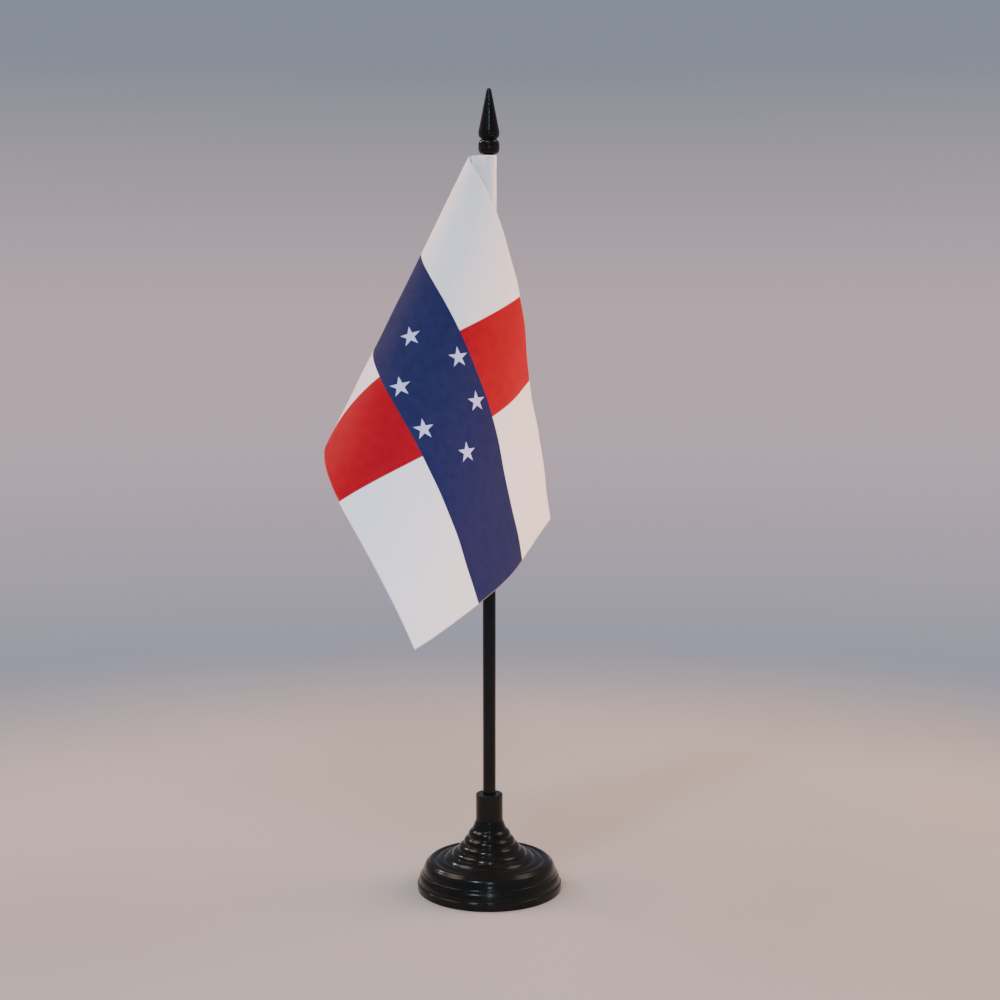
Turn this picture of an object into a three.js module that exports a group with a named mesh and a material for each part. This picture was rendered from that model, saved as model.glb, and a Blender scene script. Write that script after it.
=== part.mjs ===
// A desk flag stand: a hollow moulded base with a ringed dome, a round pole that pushes into its neck,
// a spear finial on the pole's spigot, and a cloth flag that hangs from a sewn sleeve round the pole.
// Millimetres, +Z up. The origin is the middle of the base's resting face. The front is -Y and the
// flag hangs from the pole's left side, -X.
import * as THREE from "three";

// ---- Driving dimensions ---------------------------------------------------------------------

const FIT_GAP = 0.3; // left between two pieces that touch

// Pole: a round stick with a stepped-down spigot for the finial.
const POLE_RADIUS = 2.4;
const POLE_SHOULDER_Z = 272.5;
const SPIGOT_RADIUS = 1.4;
const SPIGOT_LENGTH = 8;
const POLE_CHAMFER = 0.5;

// Base: one hollow plastic moulding with a blind socket in its neck.
const NECK_RADIUS = 5.05;
const NECK_TOP_Z = 36.6;
const NECK_BOTTOM_Z = 27;
const NECK_ROUND = 0.6; // radius of the neck's top edge
const SHOULDER_START = [19.8, 11.3]; // radius and height where the flare turns into the shoulder
const SHOULDER_END = [25, 7.3]; // radius and height of the line round the side wall
const FLARE_HANDLES = [[0, -1.5], [-9, 0.4]]; // from the flare's two ends to its curve's handles
const SHOULDER_HANDLES = [[2.8, -0.3], [-1, 4.2]];
const WALL_STEP = 0.35; // how far the side wall stands out under that line
const WALL_MIDDLE_RADIUS = 26.3;
const WALL_FOOT_RADIUS = 26.7;
const FOOT_RADIUS = 27.1;
const FOOT_HEIGHT = 2.8;
const FOOT_CHAMFER = 0.3;
const RING_COUNT = 7;
const RING_START = 4.3; // along the outline from the neck's lower end to the first ring
const RING_PITCH = 3.1; // along the outline
const RING_HEIGHT = 0.45; // how far a ring stands out of the outline
const WALL_THICKNESS = 1.8;
const BOSS_RADIUS = 4.2; // outside of the socket's tube in the hollow
const BOSS_TOP_Z = 19.5; // where that tube meets the underside of the dome
const SOCKET_FLOOR_Z = 3;

// Finial: a squarish bead and a spear point in one piece.
const FINIAL_BOTTOM_Z = POLE_SHOULDER_Z + FIT_GAP;
const BEAD_RADIUS = 3.85;
const BEAD_HALF_HEIGHT = 2.85;
const BEAD_CENTRE_Z = 275.65;
const BEAD_SQUARENESS = 3.4; // 2 would be a plain ball
const GROOVE_RADIUS = 2.9;
const GROOVE_Z = 278.5;
const SPEAR_CHAMFER = [3.55, 279.9]; // radius and height where the spear's lower edge is broken
const SPEAR_RADIUS = 3.8;
const SPEAR_WIDEST_Z = 281;
const TIP_RADIUS = 0.9;
const TIP_Z = 296.4;
const TAPER = 10; // degrees that the spear's side leans in from upright

// Flag: FLAG_LENGTH runs from the sleeve's seam to the fly edge, and FLAG_HEIGHT from top to bottom.
const FLAG_LENGTH = 150;
const FLAG_HEIGHT = 100;
const CLOTH_THICKNESS = 0.5;
const FLAG_TOP_Z = 272.5;
const SEAM_X = -6.5; // where the panel starts, on the pole's left

// Fall of the cloth: the flat sheet turns a little about each of a fan of straight creases.
const CREASES = 44;
const FIRST_SLANT = 18.5; // degrees between the first crease and the hoist edge
const LAST_SLANT = 65;
const SLANT_BULGE = 1.5; // degrees that the middle crease slants more than a straight run would
const CREASE_REACH = 68; // where the last crease leaves the top edge
const REACH_POWER = 2.7; // the creases leave the top edge closer together near the hoist
const CORNER_REACH = 0.25; // creases that start nearer than this to the hoist start from the corner
const TIGHT_CURL = 375; // degrees of turn over the whole fan, at the tight end
const OPEN_CURL = 105; // the same at the open end
const CURL_EASES = [0.25, 0.77]; // shares of the fan between which the curl opens

// Sleeve: cloth folded round the pole, closed by a flat lip that the panel is sewn to.
const SLEEVE_INNER_RADIUS = POLE_RADIUS + FIT_GAP;
const SLEEVE_WALL = 0.3;
const LIP_START_X = -4.6;
const LIP_END_X = SEAM_X + FIT_GAP;
const LIP_HALF_THICKNESS = 0.35;

// Seam threads: one on each face of the lip.
const THREAD_RADIUS = 0.18;
const THREAD_X = -5.4;
const THREAD_MARGIN = 1; // the threads stop this far from the sleeve's ends

// Facets
const BASE_FACETS = 40;
const POLE_FACETS = 24;
const FINIAL_FACETS = 28;
const SLEEVE_FACETS = 16;
const PANEL_ROWS = 6;
const THREAD_FACETS = 8;
const STEPS_PER_RING = 3;
const SHOULDER_SHARES = [0.45, 0.8, 1]; // of the outline from the last ring to the shoulder's end
const INSIDE_SHARES = [0.97, 0.85, 0.7, 0.55, 0.4, 0.3]; // of the whole outline

// ---- Materials ------------------------------------------------------------------------------

const blackPlastic = (name) =>
  new THREE.MeshStandardMaterial({ name, color: 0x0b0a0a, roughness: 0.28, metalness: 0 });
const MATERIALS = {
  base: blackPlastic("base plastic"),
  pole: blackPlastic("pole plastic"),
  finial: blackPlastic("finial plastic"),
  flag: new THREE.MeshStandardMaterial({ color: 0xd8dae6, roughness: 0.75, metalness: 0 }),
  sleeve: new THREE.MeshStandardMaterial({ color: 0xdddfe8, roughness: 0.75, metalness: 0 }),
  thread: new THREE.MeshStandardMaterial({ color: 0xe6e6ea, roughness: 0.6, metalness: 0 }),
};

// ---- Helpers --------------------------------------------------------------------------------

const root = new THREE.Group();
root.name = "desk_flag_stand";

function addPiece(name, geometry, material) {
  const mesh = new THREE.Mesh(geometry, material);
  mesh.name = name;
  root.add(mesh);
  return mesh;
}

// A turned solid from a profile of [radius, height] points.
function turned(profile, facets) {
  const points = profile.map(([radius, height]) => new THREE.Vector2(radius, height));
  const lathe = new THREE.LatheGeometry(points, facets);
  lathe.rotateX(Math.PI / 2);
  return lathe;
}

// Points of an arc in the profile plane. Angles are in degrees from the outward direction.
function arc(centre, radii, from, to, steps) {
  const points = [];
  for (let step = 0; step <= steps; step++) {
    const angle = THREE.MathUtils.degToRad(from + ((to - from) * step) / steps);
    points.push([centre[0] + radii[0] * Math.cos(angle), centre[1] + radii[1] * Math.sin(angle)]);
  }
  return points;
}

// ---- Base -----------------------------------------------------------------------------------

// A curve between two points, with a handle given from each of them.
function curveBetween(from, to, [fromHandle, toHandle]) {
  const start = new THREE.Vector2(...from);
  const end = new THREE.Vector2(...to);
  const afterStart = start.clone().add(new THREE.Vector2(...fromHandle));
  const beforeEnd = end.clone().add(new THREE.Vector2(...toHandle));
  return new THREE.CubicBezierCurve(start, afterStart, beforeEnd, end);
}

// The smooth outline from the neck's lower end down to the line round the side wall.
function baseOutline() {
  const outline = new THREE.CurvePath();
  outline.add(curveBetween([NECK_RADIUS, NECK_BOTTOM_Z], SHOULDER_START, FLARE_HANDLES));
  outline.add(curveBetween(SHOULDER_START, SHOULDER_END, SHOULDER_HANDLES));
  return outline;
}

// The outline's point at a distance along it, moved outwards by a height.
function outlinePoint(outline, length, distance, height) {
  const share = THREE.MathUtils.clamp(distance / length, 0, 1);
  const point = outline.getPoint(share);
  const tangent = outline.getTangent(share);
  return [point.x - tangent.y * height, point.y + tangent.x * height];
}

function baseMoulding() {
  const outline = baseOutline();
  const length = outline.getLength();
  const skin = (distance, height) => outlinePoint(outline, length, distance, height);
  const socketRadius = POLE_RADIUS + FIT_GAP;
  const neckRoundCentre = [NECK_RADIUS - NECK_ROUND, NECK_TOP_Z - NECK_ROUND];

  const outside = [
    [socketRadius, NECK_TOP_Z],
    ...arc(neckRoundCentre, [NECK_ROUND, NECK_ROUND], 90, 0, 2),
    skin(0, 0),
    skin(RING_START / 2, 0),
  ];
  for (let step = 0; step <= RING_COUNT * STEPS_PER_RING; step++) {
    const rise = RING_HEIGHT * Math.abs(Math.sin((Math.PI * step) / STEPS_PER_RING));
    outside.push(skin(RING_START + (step * RING_PITCH) / STEPS_PER_RING, rise));
  }
  const ringEnd = RING_START + RING_COUNT * RING_PITCH;
  for (const share of SHOULDER_SHARES) {
    outside.push(skin(ringEnd + (length - ringEnd) * share, 0));
  }
  outside.push([SHOULDER_END[0] + WALL_STEP, SHOULDER_END[1] - WALL_STEP]);
  outside.push([WALL_MIDDLE_RADIUS, (SHOULDER_END[1] + FOOT_HEIGHT) / 2]);
  outside.push([WALL_FOOT_RADIUS, FOOT_HEIGHT]);
  outside.push([FOOT_RADIUS, FOOT_HEIGHT - FOOT_CHAMFER]);
  outside.push([FOOT_RADIUS, 0]);

  const inside = [
    [FOOT_RADIUS - WALL_THICKNESS, 0],
    [WALL_FOOT_RADIUS - WALL_THICKNESS, FOOT_HEIGHT],
  ];
  for (const share of INSIDE_SHARES) {
    inside.push(skin(length * share, -WALL_THICKNESS));
  }
  inside.push([BOSS_RADIUS, BOSS_TOP_Z]);
  inside.push([BOSS_RADIUS, 0]);

  const profile = [[0, SOCKET_FLOOR_Z], [socketRadius, SOCKET_FLOOR_Z], ...outside, ...inside, [0, 0]];
  return turned(profile.reverse(), BASE_FACETS);
}

// ---- Pole and finial ------------------------------------------------------------------------

function pole() {
  const foot = SOCKET_FLOOR_Z + FIT_GAP;
  return turned(
    [
      [0, foot],
      [POLE_RADIUS - POLE_CHAMFER, foot],
      [POLE_RADIUS, foot + POLE_CHAMFER],
      [POLE_RADIUS, POLE_SHOULDER_Z],
      [SPIGOT_RADIUS, POLE_SHOULDER_Z],
      [SPIGOT_RADIUS, POLE_SHOULDER_Z + SPIGOT_LENGTH],
      [0, POLE_SHOULDER_Z + SPIGOT_LENGTH],
    ],
    POLE_FACETS,
  );
}

// The bead's outline from its lower edge to the groove: a ball with squared sides.
function bead() {
  const squared = (value) => Math.sign(value) * Math.abs(value) ** (2 / BEAD_SQUARENESS);
  return arc([0, 0], [1, 1], -64, 64, 8).map(([outward, upward]) => [
    BEAD_RADIUS * squared(outward),
    BEAD_CENTRE_Z + BEAD_HALF_HEIGHT * squared(upward),
  ]);
}

function finial() {
  const boreRadius = SPIGOT_RADIUS + FIT_GAP;
  const boreTop = POLE_SHOULDER_Z + SPIGOT_LENGTH + FIT_GAP;
  const tipCentre = [0, TIP_Z - TIP_RADIUS];
  return turned(
    [
      [0, boreTop],
      [boreRadius, boreTop],
      [boreRadius, FINIAL_BOTTOM_Z],
      ...bead(),
      [GROOVE_RADIUS, GROOVE_Z],
      SPEAR_CHAMFER,
      [SPEAR_RADIUS, SPEAR_WIDEST_Z],
      ...arc(tipCentre, [TIP_RADIUS, TIP_RADIUS], TAPER, 90, 3),
    ],
    FINIAL_FACETS,
  );
}

// ---- Flag -----------------------------------------------------------------------------------

// Degrees of turn over the whole fan, at a share of the fan.
function curlAt(share) {
  const [start, end] = CURL_EASES;
  const eased = THREE.MathUtils.clamp((share - start) / (end - start), 0, 1);
  return TIGHT_CURL + (OPEN_CURL - TIGHT_CURL) * eased;
}

function turnAbout(point, direction, angle) {
  const back = new THREE.Matrix4().makeTranslation(-point.x, -point.y, -point.z);
  const turn = new THREE.Matrix4().makeRotationAxis(direction, angle);
  const there = new THREE.Matrix4().makeTranslation(point.x, point.y, point.z);
  return there.multiply(turn).multiply(back);
}

// The fan of creases in the flat sheet, each with the placement of the cloth beyond it.
// In the flat sheet x runs from the hoist to the fly and y from the top edge down.
function creaseFan() {
  const fan = [];
  const placed = new THREE.Matrix4();
  for (let crease = 0; crease < CREASES; crease++) {
    const share = (crease + 0.5) / CREASES;
    const bulge = SLANT_BULGE * 4 * share * (1 - share);
    const slant = THREE.MathUtils.degToRad(FIRST_SLANT + (LAST_SLANT - FIRST_SLANT) * share + bulge);
    const start = new THREE.Vector3(CREASE_REACH * share ** REACH_POWER, 0, 0);
    const direction = new THREE.Vector3(Math.sin(slant), Math.cos(slant), 0);
    const angle = THREE.MathUtils.degToRad(-curlAt(share) / CREASES);
    placed.multiply(turnAbout(start, direction, angle));
    fan.push({ start, direction, placed: placed.clone() });
  }
  return fan;
}

// Where a point of the flat sheet hangs. z is its distance out of the sheet's middle surface.
function hang(fan, flatPoint) {
  const point = flatPoint.clone();
  let placement = null;
  for (const { start, direction, placed } of fan) {
    const beyond = (flatPoint.x - start.x) * direction.y - flatPoint.y * direction.x;
    if (beyond <= 0) break;
    placement = placed;
  }
  if (placement) point.applyMatrix4(placement);
  return new THREE.Vector3(SEAM_X - point.x, -point.z, FLAG_TOP_Z - point.y);
}

// The lines that the flat sheet is divided along: the hoist edge, every crease and the fly edge.
// The creases that leave the sheet on either side of its lower fly corner meet at that corner.
function sheetLines(fan) {
  const corner = new THREE.Vector3(FLAG_LENGTH, FLAG_HEIGHT, 0);
  const creases = fan.map(({ start, direction }) => {
    const reach = Math.min(FLAG_HEIGHT / direction.y, (FLAG_LENGTH - start.x) / direction.x);
    const from = start.x < CORNER_REACH ? new THREE.Vector3() : start;
    return { from, to: start.clone().addScaledVector(direction, reach) };
  });
  const atCorner = creases.findIndex(({ to }) => to.y < FLAG_HEIGHT - 1e-6);
  creases[atCorner].to = corner;
  const hoist = { from: new THREE.Vector3(), to: new THREE.Vector3(0, FLAG_HEIGHT, 0) };
  const fly = { from: new THREE.Vector3(FLAG_LENGTH, 0, 0), to: creases[creases.length - 1].to };
  return [hoist, ...creases, fly];
}

function flagPanel() {
  const fan = creaseFan();
  const lines = sheetLines(fan);
  const columns = lines.length - 1;
  const sheet = new THREE.BoxGeometry(columns, 1, CLOTH_THICKNESS, columns, PANEL_ROWS, 1);
  sheet.translate(columns / 2, 0.5, 0);
  const position = sheet.attributes.position;
  const gridPoint = new THREE.Vector3();
  for (let index = 0; index < position.count; index++) {
    gridPoint.fromBufferAttribute(position, index);
    const { from, to } = lines[Math.round(gridPoint.x)];
    const flatPoint = from.clone().lerp(to, gridPoint.y);
    flatPoint.z = gridPoint.z;
    const hung = hang(fan, flatPoint);
    position.setXYZ(index, hung.x, hung.y, hung.z);
  }
  return sheet;
}

// A drop-shaped outline: a circle round the pole, and straight sides that run into a tail.
// tail holds the upper half of the tail's points, from its end towards the circle.
function dropOutline(radius, tail) {
  const [joinX, joinY] = tail[tail.length - 1];
  const openAngle = THREE.MathUtils.radToDeg(Math.acos((radius - joinY) / -joinX));
  const outline = arc([0, 0], [radius, radius], 180 - openAngle, 0, SLEEVE_FACETS / 2);
  const upper = [...tail, ...outline];
  const lower = upper.filter(([, y]) => y > 1e-6).map(([x, y]) => [x, -y]);
  return [...upper, ...lower.reverse()].map(([x, y]) => new THREE.Vector2(x, y));
}

function poleSleeve() {
  const lip = [
    [LIP_END_X, LIP_HALF_THICKNESS],
    [LIP_START_X, LIP_HALF_THICKNESS],
  ];
  const section = new THREE.Shape(dropOutline(SLEEVE_INNER_RADIUS + SLEEVE_WALL, lip));
  section.holes.push(new THREE.Path(dropOutline(SLEEVE_INNER_RADIUS, [[LIP_START_X, 0]]).reverse()));
  const sleeve = new THREE.ExtrudeGeometry(section, { depth: FLAG_HEIGHT, bevelEnabled: false });
  sleeve.translate(0, 0, FLAG_TOP_Z - FLAG_HEIGHT);
  return sleeve;
}

// One seam thread, laid straight down a face of the lip. side is -1 at the front and 1 at the back.
function seamThread(side) {
  const length = FLAG_HEIGHT - 2 * THREAD_MARGIN;
  const thread = new THREE.CylinderGeometry(THREAD_RADIUS, THREAD_RADIUS, length, THREAD_FACETS);
  thread.rotateX(Math.PI / 2);
  const offset = LIP_HALF_THICKNESS + FIT_GAP + THREAD_RADIUS;
  thread.translate(THREAD_X, side * offset, FLAG_TOP_Z - FLAG_HEIGHT / 2);
  return thread;
}

// ---- Assembly -------------------------------------------------------------------------------

addPiece("base_moulding", baseMoulding(), MATERIALS.base);
addPiece("pole", pole(), MATERIALS.pole);
addPiece("spear_finial", finial(), MATERIALS.finial);
addPiece("flag_panel", flagPanel(), MATERIALS.flag);
addPiece("pole_sleeve", poleSleeve(), MATERIALS.sleeve);
addPiece("needle_thread", seamThread(-1), MATERIALS.thread);
addPiece("bobbin_thread", seamThread(1), MATERIALS.thread);

export default root;
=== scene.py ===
import math

import bmesh
import bpy
import numpy as np
from mathutils import Matrix, Vector


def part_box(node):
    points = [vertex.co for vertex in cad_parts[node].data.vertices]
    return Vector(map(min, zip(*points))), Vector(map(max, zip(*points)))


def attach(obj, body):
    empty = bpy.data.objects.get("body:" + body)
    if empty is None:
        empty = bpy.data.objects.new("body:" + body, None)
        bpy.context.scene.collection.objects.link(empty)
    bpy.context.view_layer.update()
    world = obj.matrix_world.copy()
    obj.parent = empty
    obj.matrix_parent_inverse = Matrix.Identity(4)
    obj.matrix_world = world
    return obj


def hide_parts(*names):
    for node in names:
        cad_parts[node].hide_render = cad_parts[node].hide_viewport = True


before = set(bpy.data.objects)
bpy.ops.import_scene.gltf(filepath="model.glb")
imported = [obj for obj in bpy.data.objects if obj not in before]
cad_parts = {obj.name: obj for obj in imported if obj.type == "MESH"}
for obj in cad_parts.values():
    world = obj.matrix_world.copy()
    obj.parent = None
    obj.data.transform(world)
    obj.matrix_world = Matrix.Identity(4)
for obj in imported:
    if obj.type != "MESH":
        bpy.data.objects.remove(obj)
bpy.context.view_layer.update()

MM = 0.001
FIT_GAP = 0.3 * MM  # left between two pieces that touch

# ---- Sizes taken from the frame ---------------------------------------------------------------

base_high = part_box("base_moulding")[1]
pole_low, pole_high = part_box("pole")
finial_low, finial_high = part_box("spear_finial")
sleeve_low, sleeve_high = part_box("pole_sleeve")
thread_low, thread_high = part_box("needle_thread")

POLE_RADIUS = pole_high.x
FOOT_RADIUS = base_high.x
NECK_TOP = base_high.z
FLAG_TOP = sleeve_high.z
FLAG_HEIGHT = sleeve_high.z - sleeve_low.z
SEAM_X = sleeve_low.x - FIT_GAP  # where the printed field starts
STITCH_X = (thread_low.x + thread_high.x) / 2

# The flat cloth is measured in millimetres.
FLAG_LENGTH = 150  # from the seam to the fly
FLAG_BREADTH = 100  # from the top edge to the bottom edge
CUT_UNIT = 100  # millimetres to one unit of the cloth's UV map


# ---- Camera -----------------------------------------------------------------------------------

CAMERA_PLACE = (4.0 * MM, -623.5 * MM, 216.4 * MM)
CAMERA_DIP = 6.31  # degrees that the camera looks down


def set_camera():
    data = bpy.data.cameras.new("studio_camera")
    data.sensor_width = 36
    data.lens = 61.2
    data.clip_start = 0.01
    data.clip_end = 20
    camera = bpy.data.objects.new("studio_camera", data)
    camera.location = CAMERA_PLACE
    camera.rotation_euler = (math.radians(90 - CAMERA_DIP), 0, 0)
    bpy.context.scene.collection.objects.link(camera)
    bpy.context.scene.camera = camera


set_camera()


# ---- Mesh helpers -----------------------------------------------------------------------------

def add_object(name, vertices, faces, smooth=True):
    mesh = bpy.data.meshes.new(name)
    mesh.from_pydata([tuple(v) for v in vertices], [], faces)
    mesh.validate()
    if smooth:
        mesh.shade_smooth()
    piece = bpy.data.objects.new(name, mesh)
    bpy.context.scene.collection.objects.link(piece)
    return piece


def add_inputs(tree, inputs):
    """Adds named inputs to a node tree. inputs holds a label, a socket type and a default for each."""
    for label, kind, value in inputs:
        socket = tree.interface.new_socket(label, in_out="INPUT", socket_type=kind)
        if value is not None:
            socket.default_value = value


TURNING_RADIUS = 50 * MM  # of the circle that an outline is carried round, and is drawn from
WELD_DISTANCE = 0.001 * MM


def lathe_tree():
    """Geometry nodes: raises rings on an outline in the X-Z plane and turns it round the Z axis."""
    tree = bpy.data.node_groups.new("ringed_lathe", "GeometryNodeTree")
    tree.interface.new_socket("Outline", in_out="INPUT", socket_type="NodeSocketGeometry")
    add_inputs(tree, (
        ("Facets", "NodeSocketInt", 96),
        ("Ring Start", "NodeSocketFloat", 0.0),
        ("Ring Pitch", "NodeSocketFloat", 3 * MM),
        ("Ring Count", "NodeSocketFloat", 0.0),
        ("Ring Height", "NodeSocketFloat", 0.4 * MM),
        ("Ring Fullness", "NodeSocketFloat", 0.8),
        ("Material", "NodeSocketMaterial", None),
    ))
    tree.interface.new_socket("Solid", in_out="OUTPUT", socket_type="NodeSocketGeometry")
    nodes = Nodes(tree)
    given, out = nodes.add("NodeGroupInput"), nodes.add("NodeGroupOutput")
    travel = nodes.add("GeometryNodeSplineParameter").outputs["Length"]
    phase = nodes.math("DIVIDE", nodes.math("SUBTRACT", travel, given.outputs["Ring Start"]),
                       given.outputs["Ring Pitch"])
    begun = nodes.math("GREATER_THAN", phase, 0.0)
    unfinished = nodes.math("LESS_THAN", phase, given.outputs["Ring Count"])
    bead = nodes.math("ABSOLUTE", nodes.math("SINE", nodes.math("MULTIPLY", phase, math.pi)))
    bead = nodes.math("POWER", bead, given.outputs["Ring Fullness"])
    rise = nodes.math("MULTIPLY", nodes.math("MULTIPLY", begun, unfinished), bead)
    rise = nodes.math("MULTIPLY", rise, given.outputs["Ring Height"])
    tangent = nodes.add("GeometryNodeInputTangent").outputs[0]
    outward = nodes.add("ShaderNodeVectorMath", {"operation": "CROSS_PRODUCT"}, i0=tangent, i1=(0, 1, 0))
    lift = nodes.add("ShaderNodeVectorMath", {"operation": "SCALE"}, i0=outward.outputs[0], Scale=rise)
    ringed = nodes.add("GeometryNodeSetPosition", None, Geometry=given.outputs["Outline"],
                       Offset=lift.outputs[0])
    position = nodes.add("GeometryNodeInputPosition").outputs[0]
    place = nodes.add("ShaderNodeSeparateXYZ", None, Vector=position)
    from_circle = nodes.math("SUBTRACT", place.outputs["X"], TURNING_RADIUS)
    downwards = nodes.math("MULTIPLY", place.outputs["Z"], -1.0)
    drawn = nodes.add("ShaderNodeCombineXYZ", None, X=from_circle, Y=downwards)
    section = nodes.add("GeometryNodeSetPosition", None, Geometry=ringed.outputs[0],
                        Position=drawn.outputs[0])
    circle = nodes.add("GeometryNodeCurvePrimitiveCircle", None, Resolution=given.outputs["Facets"],
                       Radius=TURNING_RADIUS)
    level = nodes.add("GeometryNodeSetCurveNormal", {"mode": "Z_UP"}, Curve=circle.outputs[0])
    solid = nodes.add("GeometryNodeCurveToMesh", None, Curve=level.outputs[0],
                      **{"Profile Curve": section.outputs[0]})
    closed = nodes.add("GeometryNodeMergeByDistance", None, Geometry=solid.outputs[0],
                       Distance=WELD_DISTANCE)
    smooth = nodes.add("GeometryNodeSetShadeSmooth", None, Geometry=closed.outputs[0])
    real = nodes.add("GeometryNodeRealizeInstances", None, Geometry=smooth.outputs[0])
    painted = nodes.add("GeometryNodeSetMaterial", None, Geometry=real.outputs[0],
                        Material=given.outputs["Material"])
    nodes.feed(out.inputs[0], painted.outputs[0])
    return tree


def made_by_nodes(name, points, tree, **settings):
    """Runs a tree on the open line through the points and keeps the plain mesh."""
    curve = bpy.data.curves.new(name, "CURVE")
    curve.dimensions = "3D"
    line = curve.splines.new("POLY")
    line.points.add(len(points) - 1)
    for point, place in zip(line.points, points):
        point.co = (*place, 1)
    source = bpy.data.objects.new(name, curve)
    bpy.context.scene.collection.objects.link(source)
    modifier = source.modifiers.new("made", "NODES")
    modifier.node_group = tree
    inputs = [item for item in tree.interface.items_tree if item.in_out == "INPUT"]
    sockets = {item.name: item.identifier for item in inputs}
    for label, value in settings.items():
        modifier[sockets[label.replace("_", " ")]] = value
    graph = bpy.context.evaluated_depsgraph_get()
    graph.update()
    mesh = bpy.data.meshes.new_from_object(source.evaluated_get(graph))
    bpy.data.objects.remove(source)
    piece = bpy.data.objects.new(name, mesh)
    bpy.context.scene.collection.objects.link(piece)
    return piece


def turned(name, profile, facets, material, **rings):
    """A solid of revolution. Its (radius, height) points run from the axis back to the axis."""
    points = [(max(radius, 0.0), 0.0, height) for radius, height in profile]
    piece = made_by_nodes(name, points, LATHE, Facets=facets, Material=material, **rings)
    face_outwards(piece)
    return piece


def face_outwards(piece):
    """Welds the seams of a closed mesh and turns its faces outwards."""
    work = bmesh.new()
    work.from_mesh(piece.data)
    bmesh.ops.remove_doubles(work, verts=work.verts, dist=WELD_DISTANCE / 10)
    bmesh.ops.recalc_face_normals(work, faces=work.faces)
    work.to_mesh(piece.data)
    work.free()


def arc(centre, radii, start, end, steps):
    """Points of an arc in the profile plane, in degrees from the outward direction."""
    points = []
    for angle in np.radians(np.linspace(start, end, steps + 1)):
        points.append((centre[0] + radii[0] * math.cos(angle), centre[1] + radii[1] * math.sin(angle)))
    return points


def bezier(p0, p1, p2, p3, steps):
    """Points of a cubic curve from p0 to p3."""
    t = np.linspace(0, 1, steps + 1)[:, None]
    p0, p1, p2, p3 = (np.array(p, float) for p in (p0, p1, p2, p3))
    return (1 - t) ** 3 * p0 + 3 * (1 - t) ** 2 * t * p1 + 3 * (1 - t) * t**2 * p2 + t**3 * p3


# ---- Shader helpers ---------------------------------------------------------------------------

class Nodes:
    """A short way to write a node tree. An input is given by its name, or as i0, i1 by its number."""

    def __init__(self, tree):
        self.tree = tree

    def add(self, kind, settings=None, **inputs):
        node = self.tree.nodes.new(kind)
        for key, value in (settings or {}).items():
            setattr(node, key, value)
        for key, value in inputs.items():
            numbered = key[0] == "i" and key[1:].isdigit()
            self.feed(node.inputs[int(key[1:]) if numbered else key], value)
        return node

    def feed(self, socket, value):
        if isinstance(value, bpy.types.NodeSocket):
            self.tree.links.new(value, socket)
        else:
            socket.default_value = value

    def math(self, operation, a, b=0.0, c=None, clamp=False):
        node = self.add("ShaderNodeMath", {"operation": operation, "use_clamp": clamp}, i0=a, i1=b)
        if c is not None:
            self.feed(node.inputs[2], c)
        return node.outputs[0]

    def ramp(self, value, low, high, out_low=0.0, out_high=1.0):
        node = self.add(
            "ShaderNodeMapRange", {"interpolation_type": "SMOOTHSTEP"},
            i0=value, i1=low, i2=high, i3=out_low, i4=out_high,
        )
        return node.outputs[0]

    def mix(self, share, a, b):
        node = self.add("ShaderNodeMix", {"data_type": "RGBA"}, i0=share, i6=a, i7=b)
        return node.outputs[2]

    def noise(self, vector, scale, detail=2.0, roughness=0.5):
        node = self.add(
            "ShaderNodeTexNoise", None, Vector=vector, Scale=scale, Detail=detail, Roughness=roughness,
        )
        return node.outputs["Fac"]


def shader_group(name, inputs, outputs):
    tree = bpy.data.node_groups.new(name, "ShaderNodeTree")
    add_inputs(tree, inputs)
    for label, kind in outputs:
        tree.interface.new_socket(label, in_out="OUTPUT", socket_type=kind)
    nodes = Nodes(tree)
    return tree, nodes, nodes.add("NodeGroupInput"), nodes.add("NodeGroupOutput")


def use_group(nodes, tree, **inputs):
    node = nodes.add("ShaderNodeGroup", {"node_tree": tree})
    for key, value in inputs.items():
        nodes.feed(node.inputs[key.replace("_", " ")], value)
    return node


def new_material(name):
    material = bpy.data.materials.new(name)
    material.use_nodes = True
    nodes = Nodes(material.node_tree)
    shader = material.node_tree.nodes["Principled BSDF"]
    return material, nodes, shader


# ---- Shared effects ---------------------------------------------------------------------------

PATCH_SCALE = 90.0  # of the dull and shiny patches, about a centimetre across
GRAIN_SCALE = 2600.0
SPECK_SCALE = 1500.0
HAIR_SCALE = (2200, 60, 160)  # a noise stretched until its peaks are long hairlines
HAIR_TURN = (0.4, 0.9, 0.3)


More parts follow.
